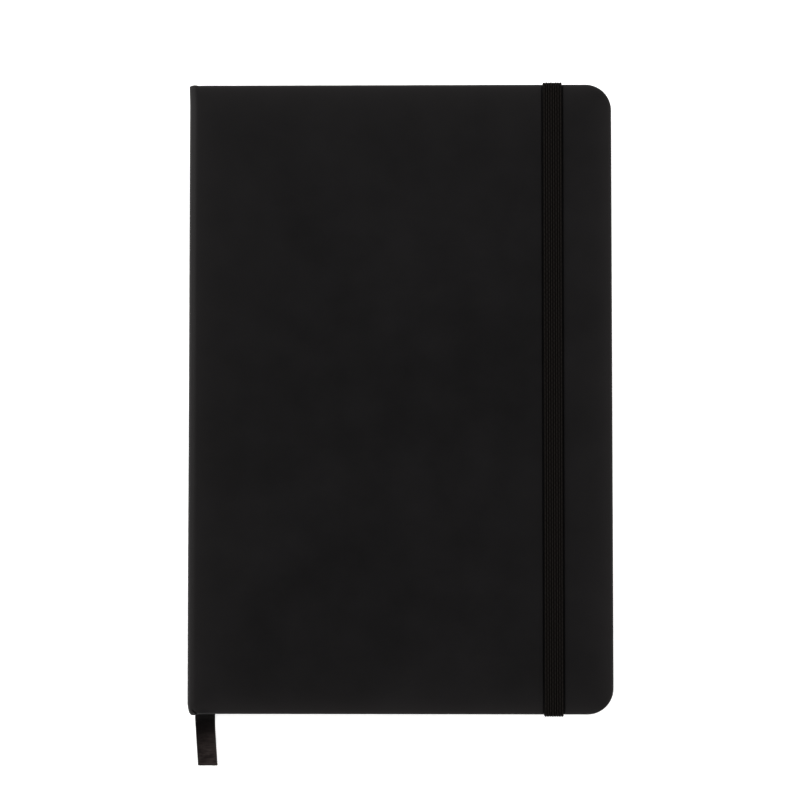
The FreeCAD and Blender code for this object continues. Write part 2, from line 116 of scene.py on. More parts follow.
def make_piece(name, points, faces, material, slot, crease=35.0, uvs=None):
    """A mesh object from millimetre points. Edges sharper than crease degrees stay crisp."""
    mesh = bpy.data.meshes.new(name)
    mesh.from_pydata((np.asarray(points, float) * MM).tolist(), [], faces)
    shape = bmesh.new()
    shape.from_mesh(mesh)
    if uvs is None:
        bmesh.ops.remove_doubles(shape, verts=shape.verts, dist=1e-7)
    bmesh.ops.recalc_face_normals(shape, faces=shape.faces)
    shape.to_mesh(mesh)
    shape.free()
    if uvs is not None:
        corners = np.zeros(len(mesh.loops), int)
        mesh.loops.foreach_get("vertex_index", corners)
        layer = mesh.uv_layers.new(name="weave")
        layer.data.foreach_set("uv", np.asarray(uvs, float)[corners].ravel())
    mesh.shade_smooth()
    mesh.set_sharp_from_angle(angle=math.radians(crease))
    mesh.materials.append(material)
    piece = bpy.data.objects.new(name, mesh)
    bpy.context.scene.collection.objects.link(piece)
    return piece


def rim_of(rows, columns):
    """(row, column) of a grid's border, once round."""
    border = [(0, j) for j in range(columns)]
    border += [(i, columns - 1) for i in range(1, rows)]
    border += [(rows - 1, j) for j in range(columns - 2, -1, -1)]
    border += [(i, 0) for i in range(rows - 2, 0, -1)]
    return border


def grid_faces(grid):
    """Quads of a grid of point numbers."""
    a, b = grid[:-1, :-1], grid[:-1, 1:]
    c, d = grid[1:, 1:], grid[1:, :-1]
    return np.stack([a, b, c, d], axis=-1).reshape(-1, 4).tolist()


def slab(upper, lower):
    """Points and faces of a closed sheet between two grids of points."""
    rows, columns = upper.shape[:2]
    above = np.arange(rows * columns).reshape(rows, columns)
    below = above + rows * columns
    faces = grid_faces(above) + grid_faces(below)
    border = rim_of(rows, columns)
    for a, b in zip(border, border[1:] + border[:1]):
        faces.append([int(above[a]), int(below[a]), int(below[b]), int(above[b])])
    return np.concatenate([upper.reshape(-1, 3), lower.reshape(-1, 3)]), faces


def gather(parts):
    """Several closed shells, each (points, faces), as one list of points and faces."""
    points, faces, count = [], [], 0
    for some_points, some_faces in parts:
        points.append(some_points)
        faces += [[count + n for n in face] for face in some_faces]
        count += len(some_points)
    return np.concatenate(points), faces


def point(x, y, z):
    """A millimetre point as metres, for the frame's calls."""
    return (x * MM, y * MM, z * MM)


# ---------------------------------------------------------------- finishes


class Finish:
    """A Principled material, with short ways to add texture nodes to it."""

    def __init__(self, name, **settings):
        self.material = bpy.data.materials.new(name)
        self.material.use_nodes = True
        self.tree = self.material.node_tree
        self.shader = self.tree.nodes["Principled BSDF"]
        for key, value in settings.items():
            self.set(key.replace("_", " "), value)

    def set(self, name, value):
        self.feed(self.shader.inputs[name], value)

    def feed(self, socket, value):
        if isinstance(value, bpy.types.NodeSocket):
            self.tree.links.new(value, socket)
        else:
            socket.default_value = value

    def node(self, kind, inputs, output, **settings):
        made = self.tree.nodes.new(kind)
        for key, value in settings.items():
            setattr(made, key, value)
        for key, value in inputs.items():
            self.feed(made.inputs[key], value)
        return made.outputs[output]

    def place(self, squeeze=(1, 1, 1)):
        """Object coordinates in metres, stretched along each axis."""
        where = self.node("ShaderNodeTexCoord", {}, "Object")
        return self.node("ShaderNodeMapping", {"Vector": where, "Scale": squeeze}, "Vector")

    def noise(self, scale, detail=2.0, roughness=0.5, squeeze=(1, 1, 1)):
        inputs = {"Vector": self.place(squeeze), "Scale": scale, "Detail": detail,
                  "Roughness": roughness}
        return self.node("ShaderNodeTexNoise", inputs, "Fac")

    def cells(self, scale):
        inputs = {"Vector": self.place(), "Scale": scale}
        return self.node("ShaderNodeTexVoronoi", inputs, "Distance")

    def attribute(self, name):
        return self.node("ShaderNodeAttribute", {}, "Fac", attribute_name=name)

    def weave(self):
        """The piece's own (across, along) coordinates."""
        both = self.node("ShaderNodeUVMap", {}, "UV", uv_map="weave")
        across = self.node("ShaderNodeSeparateXYZ", {0: both}, "X")
        along = self.node("ShaderNodeSeparateXYZ", {0: both}, "Y")
        return across, along

    def axis(self, name):
        return self.node("ShaderNodeSeparateXYZ", {0: self.place()}, name)

    def math(self, operation, a, b=0.0, c=0.0):
        return self.node("ShaderNodeMath", {0: a, 1: b, 2: c}, 0, operation=operation)

    def ripple(self, value, pitch, shift=0.0):
        """0 to 1 and back once in every pitch of value."""
        turn = self.math("MULTIPLY_ADD", value, 2 * math.pi / pitch, shift)
        return self.math("MULTIPLY_ADD", self.math("SINE", turn), 0.5, 0.5)

    def ramp(self, value, *stops):
        made = self.tree.nodes.new("ShaderNodeValToRGB")
        self.feed(made.inputs[0], value)
        colours = made.color_ramp.elements
        while len(colours) < len(stops):
            colours.new(0.5)
        for element, (position, colour) in zip(colours, stops):
            element.position = position
            element.color = (*colour, 1)
        return made.outputs[0]

    def mix(self, share, a, b):
        made = self.tree.nodes.new("ShaderNodeMixRGB")
        for socket, value in zip(made.inputs, (share, a, b)):
            if isinstance(value, tuple):
                value = (*value, 1)
            self.feed(socket, value)
        return made.outputs[0]

    def bump(self, height, distance, strength, under=None):
        inputs = {"Height": height, "Distance": distance, "Strength": strength}
        if under is not None:
            inputs["Normal"] = under
        return self.node("ShaderNodeBump", inputs, "Normal")


def leatherette():
    """Soft-touch black leatherette: a fine pebble grain, cloudy tone, and paler along the edges,
    partly wear and partly a painted sheen.
    """
    made = Finish("leatherette", Roughness=0.5, Specular_IOR_Level=0.088)
    cloud = made.noise(95.0, 4.0, 0.62)
    patch = made.noise(26.0, 2.0, 0.5)
    tone = made.math("MULTIPLY_ADD", patch, 0.5, made.math("MULTIPLY", cloud, 0.5))
    body = made.ramp(tone, (0.32, (0.0033, 0.00305, 0.0032)), (0.68, (0.0058, 0.0053, 0.0056)))
    # Paler edge colour from the edge attribute: partly wear, partly a painted sheen, with painted
    # shade in the tail's crease and beside the ribbon.
    paler_share = made.attribute("edge")
    made.set("Base Color", made.mix(paler_share, body, (0.0140, 0.0127, 0.0127)))
    made.set("Roughness", made.math("MULTIPLY_ADD", cloud, 0.10, 0.49))
    grain = made.cells(3100.0)
    pores = made.noise(5200.0, 2.0)
    soft = made.bump(cloud, 0.00006, 0.5)
    pebble = made.bump(grain, 0.000018, 0.35, soft)
    made.set("Normal", made.bump(pores, 0.000008, 0.3, pebble))
    return made.material


def ruled_paper():
    """Ivory writing paper with pale grey rules, and a layered, darker tone where it is trimmed."""
    made = Finish("ruled_paper", Roughness=0.86, Specular_IOR_Level=0.25)
    fibre = made.noise(1500.0, 3.0, 0.6, (1, 1, 4))
    stock = made.ramp(fibre, (0.3, (0.665, 0.615, 0.495)), (0.7, (0.72, 0.675, 0.56)))
    layers = made.noise(110.0, 2.0, 0.6, (0.3, 0.3, 70))
    trimmed = made.ramp(layers, (0.35, (0.46, 0.42, 0.32)), (0.62, (0.77, 0.725, 0.61)))
    printed = made.attribute("printed")
    tone = made.mix(printed, trimmed, stock)
    height = made.axis("Y")
    rule = made.math("PINGPONG", height, RULE_PITCH * MM / 2)
    line = made.math("LESS_THAN", rule, RULE_WIDTH * MM / 2)
    inside = made.math("LESS_THAN", made.math("ABSOLUTE", height), RULED_HALF * MM)
    ink = made.math("MULTIPLY", printed, 0.55)
    share = made.math("MULTIPLY", made.math("MULTIPLY", line, inside), ink)
    made.set("Base Color", made.mix(share, tone, (0.36, 0.38, 0.40)))
    made.set("Normal", made.bump(fibre, 0.00002, 0.4))
    return made.material


def end_paper():
    """Heavier ivory stock with a visible fibre."""
    made = Finish("end_paper", Roughness=0.8, Specular_IOR_Level=0.3)
    fibre = made.noise(900.0, 4.0, 0.65)
    speck = made.noise(240.0, 3.0, 0.6)
    tone = made.math("MULTIPLY_ADD", speck, 0.4, made.math("MULTIPLY", fibre, 0.6))
    made.set("Base Color", made.ramp(tone, (0.3, (0.63, 0.58, 0.465)), (0.7, (0.70, 0.655, 0.535))))
    made.set("Normal", made.bump(fibre, 0.00003, 0.5))
    return made.material


def grey_board():
    """Pressed grey board: short fibres and darker flecks."""
    made = Finish("grey_board", Roughness=0.92, Specular_IOR_Level=0.2)
    fibre = made.noise(1300.0, 4.0, 0.7, (1, 2.5, 1))
    fleck = made.cells(420.0)
    tone = made.math("MULTIPLY_ADD", fleck, 0.35, made.math("MULTIPLY", fibre, 0.65))
    made.set("Base Color", made.ramp(tone, (0.25, (0.17, 0.155, 0.13)), (0.7, (0.33, 0.305, 0.26))))
    made.set("Normal", made.bump(fibre, 0.00006, 0.7))
    return made.material


def mull_gauze():
    """Open cotton gauze glued over the sewn backs."""
    made = Finish("mull_gauze", Roughness=0.9, Specular_IOR_Level=0.2)
    warp = made.ripple(made.axis("Y"), GAUZE_PITCH * MM)
    weft = made.ripple(made.axis("Z"), GAUZE_PITCH * MM)
    threads = made.math("MAXIMUM", made.math("POWER", warp, 3.0), made.math("POWER", weft, 3.0))
    fuzz = made.noise(2600.0, 2.0)
    tone = made.math("MULTIPLY_ADD", fuzz, 0.25, made.math("MULTIPLY", threads, 0.75))
    made.set("Base Color", made.ramp(tone, (0.15, (0.34, 0.29, 0.20)), (0.7, (0.78, 0.74, 0.64))))
    made.set("Normal", made.bump(threads, 0.00012, 0.8))
    return made.material


def linen_thread():
    """Waxed two-ply linen thread."""
    made = Finish("linen_thread", Roughness=0.6, Specular_IOR_Level=0.4)
    slant = made.math("ADD", made.axis("Y"), made.math("MULTIPLY", made.axis("X"), 2.0))
    ply = made.ripple(slant, 0.0006)
    made.set("Base Color", made.ramp(ply, (0.1, (0.55, 0.51, 0.42)), (0.8, (0.80, 0.77, 0.69))))
    made.set("Normal", made.bump(ply, 0.00003, 0.8))
    return made.material


def elastic_cloth():
    """Woven elastic: yarns over lengthwise rubber ribs."""
    made = Finish("elastic_cloth", Roughness=0.72, Specular_IOR_Level=0.04)
    across, along = made.weave()
    rib = made.ripple(across, 1.0, -math.pi / 2)
    phase = made.math("MULTIPLY", made.math("FLOOR", across), math.pi)
    turn = made.math("MULTIPLY_ADD", along, 2 * math.pi, phase)
    stitch = made.math("MULTIPLY_ADD", made.math("SINE", turn), 0.5, 0.5)
    fuzz = made.noise(5200.0, 2.0, 0.7)
    yarn = made.math("MULTIPLY", rib, made.math("MULTIPLY_ADD", stitch, 0.55, 0.45))
    tone = made.math("MULTIPLY_ADD", fuzz, 0.3, made.math("MULTIPLY", yarn, 0.7))
    dark, light = (0.0005, 0.0003, 0.00025), (0.0102, 0.0085, 0.0073)
    made.set("Base Color", made.ramp(tone, (0.22, dark), (0.78, light)))
    weave = made.bump(yarn, 0.00009, 0.8)
    made.set("Normal", made.bump(fuzz, 0.00002, 0.5, weave))
    return made.material


def ribbon_cloth():
    """Thin woven ribbon: fine cross ribs, lighter where the yarns stand up, and darkened by a
    painted shadow away from its cut end.
    """
    made = Finish("ribbon_cloth", Roughness=0.7, Specular_IOR_Level=0.03)
    across, along = made.weave()
    weft = made.ripple(along, 1.0)
    warp = made.ripple(across, 0.32, 0.7)
    fuzz = made.noise(3600.0, 3.0, 0.7)
    slub = made.noise(1500.0, 2.0, 0.6, (0.35, 1.6, 1))
    yarn = made.math("MULTIPLY_ADD", weft, 0.5, made.math("MULTIPLY", warp, 0.15))
    loose = made.math("MULTIPLY_ADD", fuzz, 0.45, made.math("MULTIPLY", slub, 1.1))
    outward = made.math("DIVIDE", made.math("ABSOLUTE", across), 2.25)
    rim = made.math("POWER", outward, 8.0)
    loop = made.math("MULTIPLY_ADD", made.ripple(along, 2.0), 1.1, -0.35)
    loops = made.math("MULTIPLY", rim, loop)
    tone = made.math("ADD", made.math("MULTIPLY_ADD", loops, 0.4, yarn), loose)
    tone = made.math("MULTIPLY_ADD", across, 0.04, tone)
    dark, light = (0.0040, 0.0028, 0.0026), (0.0360, 0.0285, 0.0268)
    body = made.ramp(made.math("MULTIPLY", tone, 0.6), (0.53, dark), (0.81, light))
    # Painted shadow: away from the cut end, towards the cover, the colour is mixed down to near
    # black.
    paler_share = made.attribute("paler_share")
    made.set("Base Color", made.mix(paler_share, (0.0007, 0.0004, 0.0003), body))
    weave = made.bump(yarn, 0.00006, 0.8)
    made.set("Normal", made.bump(fuzz, 0.00002, 0.5, weave))
    return made.material


# ---------------------------------------------------------------- camera


def add_camera():
    """A long lens straight above the notebook, a little towards its tail."""
    place = point(7.53, -23.98, TOP + 500.0)
    roll, pitch, yaw = -0.0006, 0.0468, 0.0150
    data = bpy.data.cameras.new("photo_camera")
    data.sensor_width = 36.0
    data.lens = 100.76
    data.clip_start = 0.01
    camera = bpy.data.objects.new("photo_camera", data)
    bpy.context.scene.collection.objects.link(camera)
    turn = Matrix.Rotation(roll, 4, "Z") @ Matrix.Rotation(pitch, 4, "X")
    turn = turn @ Matrix.Rotation(yaw, 4, "Y")
    camera.matrix_world = Matrix.Translation(place) @ turn
    bpy.context.scene.camera = camera


# ---------------------------------------------------------------- ribbon marker

RIBBON_WIDTH = 4.62
RIBBON_MIDDLE = -43.6   # where it comes out from under the cover
RIBBON_PITCH = 0.54   # from one edge loop to the next
LOOP_DEPTH = 0.07     # half the depth of the edge loops
RIBBON_HALF = 0.095   # half the ribbon's thickness
RIB_HEIGHT = 0.012    # its cross ribs stand out this far
RIM_START = 0.93      # the thinner edge begins at this share of half the width
RIM_DROP = 0.03       # and is this much thinner on each side
RIBBON_ROUTE = [
    (-0.04360, 0.06750, 0.00725),
    (-0.04340, -0.06700, 0.00725),
    (-0.04405, -0.07030, 0.00725),
    (-0.04475, -0.07440, 0.00013),
    (-0.04410, -0.08350, 0.00013),
]


def spline_points(route):
    """Millimetre points along the NURBS spline whose control points are the route."""
    curve = bpy.data.curves.new("route", "CURVE")
    curve.dimensions = "3D"
    curve.resolution_u = 96
    spline = curve.splines.new("NURBS")
    spline.points.add(len(route) - 1)
    for control, place in zip(spline.points, route):
        control.co = (*place, 1)
    spline.order_u = 3
    spline.use_endpoint_u = True
    line = bpy.data.objects.new("route", curve)
    bpy.context.scene.collection.objects.link(line)
    mesh = bpy.data.meshes.new_from_object(line)
    points = np.array([v.co for v in mesh.vertices]) / MM
    bpy.data.objects.remove(line)
    bpy.data.curves.remove(curve)
    bpy.data.meshes.remove(mesh)
    return points


def evenly(points, step):
    """The same line with points every step millimetres, and the distance run at each."""
    run = np.concatenate([[0], np.cumsum(np.linalg.norm(np.diff(points, axis=0), axis=1))])
    at = np.linspace(0, run[-1], int(run[-1] / step) + 1)
    return np.stack([np.interp(at, run, points[:, k]) for k in range(3)], axis=1), at


def make_ribbon(material):
    """A flat woven ribbon with looped edges, from the glued end to its cut end on the table."""
    line, run = evenly(spline_points(RIBBON_ROUTE), RIBBON_PITCH / 4)
    ahead = np.gradient(line, axis=0)
    ahead /= np.linalg.norm(ahead, axis=1)[:, None]
    sideways = np.array([1.0, 0.0, 0.0])
    up = np.cross(ahead, sideways)
    across = np.linspace(-1, 1, 17)
    loop = np.cos(2 * math.pi * run / RIBBON_PITCH)
    half = RIBBON_WIDTH / 2 - LOOP_DEPTH + LOOP_DEPTH * loop
    rib = np.cos(4 * math.pi * run / RIBBON_PITCH)
    rim = np.abs(across) > RIM_START
    thick = RIBBON_HALF + RIB_HEIGHT * rib[:, None] - RIM_DROP * rim
    thick = thick + RIB_HEIGHT * np.where(rim, loop[:, None], 0)
    middle = line[:, None] + sideways * (half[:, None] * across)[..., None]
    fray = random.Random(7)
    cut = np.array([fray.uniform(-0.05, 0.05) for _ in across])
    middle[-1] += ahead[-1] * cut[:, None]
    upper = middle + up[:, None] * thick[..., None]
    lower = middle - up[:, None] * thick[..., None]
    points, faces = slab(upper, lower)
    yarns = np.meshgrid(across * RIBBON_WIDTH / 2, run / RIBBON_PITCH * 2)
    yarns = np.tile(np.stack(yarns, axis=-1).reshape(-1, 2), (2, 1))
    ribbon = make_piece("ribbon", points, faces, material, "ribbon", 60.0, yarns)
    # Painted shadow on the ribbon: 1 near the cut end, falling towards the cover, along a slanting
    # boundary.
    to_end = (run[-1] - run)[:, None] - 0.5 * across
    out_of_painted_shadow = np.interp(to_end, [3.0, 6.9, 7.9, 10.6], [1, 0.5, 0.2, 0.04])   # 1 near the cut end, falling to painted shadow towards the cover
    layer = ribbon.data.attributes.new("paler_share", "FLOAT", "POINT")
    layer.data.foreach_set("value", np.tile(out_of_painted_shadow.ravel(), 2).astype(np.float32))
    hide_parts("ribbon_marker")
    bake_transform(ribbon)


# ---------------------------------------------------------------- cover

SPINE_RUN = SHOULDER_BASE - MIDDLE
FLAT_START = SPINE_RUN + SHOULDER * math.pi / 2
COVER_END = FLAT_START + FORE_EDGE - SHOULDER_END
JOINT_START = SPINE_RUN - 0.25   # the joint's piece begins just before the shoulder
JOINT_END = FLAT_START + BOARD_BACK - SHOULDER_END
SPINE_LIMIT = 8.5     # wear on the spine's ends has died out here
BED_DEPTH, BED_HALF = 0.04, 3.2          # the shallow bed under the elastic
CREASE_DEPTH, CREASE_HALF = 0.26, 0.40   # the crease along each side of the elastic
BUMP_DEPTH, BUMP_START, BUMP_RUN = 0.52, -68.1, 2.7    # the spine's tail is pushed in
FLARE, FLARE_START, FLARE_RUN = 0.13, 64.5, 6.0        # the spine's head stands out
FOLD_DEPTH = 0.85     # the slanting crease beside the spine's lip at the tail
SLOT_MIDDLE = sum(span("elastic_end_head", X)) / 2
SLOT_HALF = 2.4       # half the width of the slot where the elastic goes in
SLOT_DEPTH = COVER_THICK - SKIN - 0.03
END_ROWS = np.array([1, 0.9975, 0.995, 0.9925, 0.99, 0.987, 0.983, 0.978, 0.97, 0.958, 0.94])
SHARES = np.concatenate([-END_ROWS, np.linspace(-0.91, 0.91, 51), END_ROWS[::-1]])


def wrap(u, y, depth, side):
    """Millimetre points of the cover. u runs from the middle of the spine, round the shoulder, to
    the fore-edge; depth goes into the cover; side is 1 for the front cover and -1 for the back."""
    turn = np.clip((u - SPINE_RUN) / SHOULDER, 0, math.pi / 2)
    radius = SHOULDER - depth
    x = SHOULDER_END - radius * np.cos(turn) + np.maximum(u - FLAT_START, 0)
    z = SHOULDER_BASE + radius * np.sin(turn) - np.maximum(SPINE_RUN - u, 0)
    return np.stack(np.broadcast_arrays(x, y, MIDDLE + side * (z - MIDDLE)), axis=-1)


def edge_height(u, end):
    """From the middle to the cover's edge at the head (end 1) or the tail (end -1). The spine's lip
    stands proud, and at the head a shallow notch parts it from the cover."""
    stations = [0, 7.3, 7.7, 8.0, 8.25, 8.55, 8.8, 9.2]
    head = [70.57, 70.57, 70.56, 70.54, 70.50, 70.46, 70.47, COVER_HALF]
    tail = [70.84, 70.84, 70.82, 70.78, 70.72, 70.64, 70.58, COVER_HALF]
    return np.interp(np.abs(u), stations, head if end > 0 else tail)


def rows_at(u, head_inset, tail_inset):
    """y of every row of a grid at station u, moved in from the head and tail edges."""
    head, tail = edge_height(u, 1) - head_inset, edge_height(u, -1) - tail_inset
    return np.where(SHARES > 0, SHARES * head, SHARES * tail)


def ditch(distance, width):
    """1 at distance 0, smoothly down to 0 at width."""
    share = np.clip(1 - np.abs(distance) / width, 0, 1)
    return share * share * (3 - 2 * share)


def tail_fold(u, y):
    """The slanting crease between the spine's lip and the cover at the tail, 1 at its bottom."""
    beside, down = u - 8.16, y + 70.04
    cosine, sine = 0.831, 0.556
    away = -sine * beside - cosine * down
    along = cosine * beside - sine * down
    return ditch(away, 0.25) * ditch(along, 1.15)


def relief(u, y):
    """How far the outer face dips: a faint unevenness, the bed that the elastic presses with a
    crease along each side of it, the fold beside the lip at the tail, and the spine's worn ends."""
    x = u - FLAT_START + SHOULDER_END
    flat = np.clip((FORE_EDGE - x) / 3, 0, 1) * np.clip((COVER_HALF - np.abs(y)) / 3, 0, 1)
    waves = 0.012 * np.sin(0.09 * u + 0.051 * y) + 0.010 * np.sin(0.037 * u - 0.083 * y + 1.1)
    across = np.abs(x - BAND_MIDDLE)
    crease = CREASE_DEPTH * ditch(across - BAND_WIDTH / 2 - 0.04, CREASE_HALF)
    bed = BED_DEPTH * ditch(across, BED_HALF) + crease
    spine = np.clip((SPINE_LIMIT - np.abs(u)) / 0.8, 0, 1)
    bumped = BUMP_DEPTH * np.clip((BUMP_START - y) / BUMP_RUN, 0, 1) ** 1.4
    flared = -FLARE * np.clip((y - FLARE_START) / FLARE_RUN, 0, 1) ** 2
    fold = FOLD_DEPTH * tail_fold(u, y)
    return (waves + 0.022) * flat + bed + fold + spine * (bumped + flared)


def sunk(u, y, depth, total):
    """Depth below the unworn face. The relief is full at the outer face and gone at the inner."""
    return depth + relief(u, y) * np.maximum(1 - depth / total, 0)


def edge_section(total, turn_in, over=EDGE_ROUND):
    """(inset, depth) pairs of the skin over the cover's edge, from the outer to the inner face."""
    section = []
    for step in range(1, 7):
        turn = math.pi / 2 * step / 6
        section.append((over * (1 - math.sin(turn)), over * (1 - math.cos(turn))))
    for step in range(3):
        turn = math.pi / 4 * step
        inset = INNER_ROUND * (1 - math.cos(turn))
        section.append((inset, total - INNER_ROUND * (1 - math.sin(turn))))
    inner = SKIN - GLUE_GAP
    section.append((turn_in, total))
    section.append((turn_in, total - inner))
    section.append((inner, total - inner))
    section.append((inner, inner))
    return section


def strip_shell(stations, side, total, turn_in):
    """Closed skin between two lines parallel to the spine."""
    rings = []
    section_count = len(edge_section(total, turn_in))
    for u in stations:
        rounds = [np.interp(abs(u), [7.6, SPINE_LIMIT], [over, EDGE_ROUND]) for over in SPINE_ROUND]
        at_head, at_tail = (edge_section(total, turn_in, over) for over in rounds)
        head, tail = edge_height(u, 1), edge_height(u, -1)
        inner_inset, inner_depth = at_head[-1]
        ring = [(y, 0.0) for y in rows_at(u, *rounds)[::-1]]
        ring += [(inset - tail, depth) for inset, depth in at_tail[:-1]]
        ring += [(y, inner_depth) for y in rows_at(u, inner_inset, inner_inset)]
        ring += [(head - inset, depth) for inset, depth in at_head[-2::-1]]
        y, depth = np.array(ring).T
        rings.append(wrap(u, y, sunk(u, y, depth, total), side))
    count = len(rings[0])
    numbers = np.arange(len(rings) * count).reshape(len(rings), count)
    closed = np.concatenate([numbers, numbers[:, :1]], axis=1)
    faces = grid_faces(closed)
    faces += end_faces(numbers[0], section_count) + end_faces(numbers[-1], section_count)
    return np.concatenate(rings), faces


def end_faces(ring, section_count):
    """Faces that close one end of a strip's ring."""
    rows = len(SHARES)
    outer = ring[:rows]
    inner_start = rows + section_count - 1
    inner = ring[inner_start:inner_start + rows][::-1]
    faces = grid_faces(np.stack([outer, inner]))
    faces.append(ring[rows - 1:inner_start + 1].tolist())
    faces.append(np.concatenate([ring[inner_start + rows - 1:], ring[:1]]).tolist())
    return faces


def panel_columns():
    """Stations across a cover, from the joint to where the fore-edge corners begin: closest
    together next to the joint, in the elastic's creases and at the sides of its slot."""
    band = BAND_MIDDLE + FLAT_START - SHOULDER_END
    slot = SLOT_MIDDLE + FLAT_START - SHOULDER_END
    fine = np.arange(JOINT_END, JOINT_END + 1.0, 0.1)
    near = [9.8, 10.2, 10.8, 11.6, 12.6]
    field = np.linspace(14.2, band - 4.2, 34)
    groove = np.linspace(1.9, 2.6, 8)
    beside = np.concatenate([[0, 1, 3.3], groove])
    step = np.array([SLOT_HALF - 0.01, SLOT_HALF + 0.01])
    rest = [band + 4.6, COVER_END - CORNER]
    return np.unique(np.concatenate(
        [fine, near, field, band - beside, band + beside, slot - step, slot + step, rest]))


def edge_line(columns, inset):
    """u, and y at the head and at the tail, along the cover's edge and round its corner."""
    back = max(CORNER, inset)
    radius = max(CORNER - inset, 0)
    u = np.minimum(columns, COVER_END - back)
    turns = np.linspace(0, math.pi / 2, 13)[1:]
    corner_u = COVER_END - back + radius * np.sin(turns)
    corner_y = COVER_HALF - back + radius * np.cos(turns)
    head, tail = (np.concatenate([edge_height(columns, end) - inset, corner_y]) for end in (1, -1))
    return np.concatenate([u, corner_u]), head, tail


def panel_grid(columns, inset):
    """(u, y) of a grid that fills the cover's outline moved in by inset."""
    u, head, tail = edge_line(columns, inset)
    rows = SHARES[:, None]
    return np.broadcast_to(u, (len(SHARES), len(u))), np.where(rows > 0, rows * head, rows * tail)


def panel_shell(side, has_slots):
    """Closed skin of a whole cover, turned in over the board's three edges."""
    columns = panel_columns()
    section = edge_section(COVER_THICK, TURN_IN)
    u, y = panel_grid(columns, EDGE_ROUND)
    rows, count = u.shape
    loop = rim_of(rows, count)[:rows + 2 * count - 2]   # head, fore-edge and tail
    pick = tuple(np.array(loop).T)
    points = [wrap(u, y, relief(u, y), side).reshape(-1, 3)]
    near_edge = (pick[0] == 0) | (pick[0] == rows - 1)
    near_edge &= pick[1] < len(columns)
    station = columns[np.minimum(pick[1], len(columns) - 1)]
    in_slot = near_edge & (np.abs(station - FLAT_START + SHOULDER_END - SLOT_MIDDLE) < SLOT_HALF)
    outer = np.arange(rows * count).reshape(rows, count)
    last = outer[pick]
    faces = grid_faces(outer)
    total = rows * count
    bands = []
    for inset, depth in section[:-1]:
        u, y = (part[pick] for part in panel_grid(columns, inset))
        level = sunk(u, y, np.full(len(u), depth), COVER_THICK)
        if has_slots:
            level = np.where(in_slot, np.minimum(level, SLOT_DEPTH), level)
        points.append(wrap(u, y, level, side))
        bands.append(np.arange(total, total + len(loop)))
        total += len(loop)
    u, y = panel_grid(columns, section[-1][0])
    points.append(wrap(u, y, np.full(u.shape, section[-1][1]), side).reshape(-1, 3))
    inner = np.arange(total, total + rows * count).reshape(rows, count)
    faces += grid_faces(inner)
    for band in bands + [inner[pick]]:
        faces += grid_faces(np.stack([last, band]))
        last = band
    faces += grid_faces(np.stack([outer[:, 0], inner[:, 0]]))
    faces.append([int(outer[0, 0])] + [int(b[0]) for b in bands] + [int(inner[0, 0])])
    faces.append([int(outer[-1, 0])] + [int(b[-1]) for b in bands] + [int(inner[-1, 0])])
    return np.concatenate(points), faces


def mark_edges(piece):
    """Stores how pale each point of the skin is: 1 along the closed notebook's edges, partly for
    wear and partly as a painted sheen, and 0 away from them; it is taken down as painted shade in
    the tail's crease and where the ribbon covers the edge."""
    places = np.array([v.co for v in piece.data.vertices]) / MM
    rim = np.minimum(FORE_EDGE - places[:, X], COVER_HALF - np.abs(places[:, Y]))
    rim = np.maximum(np.minimum(rim, 0.1 + places[:, X] - SPINE_FACE), 0)
    # Paler towards the edges, partly wear and partly painted sheen: a narrow rim and a margin of
    # several millimetres.
    edge = 0.66 * np.exp(-rim / 1.3) + 0.34 * np.exp(-rim / 7.0)
    height = np.abs(places[:, Z] - MIDDLE) - SPINE_RUN
    turn = np.arctan2(height, SHOULDER_END - places[:, X])
    round_shoulder = SPINE_RUN + SHOULDER * np.clip(turn, 0, math.pi / 2)
    u = round_shoulder + np.maximum(places[:, X] - SHOULDER_END, 0)
    # Painted shade: the paler edge is taken out down in the tail's slanting crease.
    edge *= 1 - 0.9 * tail_fold(u, places[:, Y])
    # Painted shade: the paler edge is mostly taken out where the ribbon comes out at the tail.
    ribbon_shade = ditch(places[:, X] - RIBBON_MIDDLE, 3.0) * np.clip(-69.0 - places[:, Y], 0, 1)
    edge *= 1 - 0.8 * ribbon_shade
    layer = piece.data.attributes.new("edge", "FLOAT", "POINT")
    layer.data.foreach_set("value", edge.astype(np.float32))


def make_card(material):
    """The card in the spine, its outer face eased where the tail is bumped."""
    low, high = span("spine_strip", Z)
    half = 69.9
    y = np.concatenate([np.linspace(-half, -66, 14), [66, half]])
    eased = 0.05 + 0.75 * np.maximum(relief(0.0, y), 0)
    face = span("spine_strip", X)[0] + eased
    outer = np.stack([np.stack([face, y, np.full(len(y), z)], axis=1) for z in (low, high)])
    inner = outer.copy()
    inner[..., X] = CARD_BACK
    card = make_piece("spine_card", *slab(outer, inner), material, "board")
    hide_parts("spine_strip")
    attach(card, "spine")


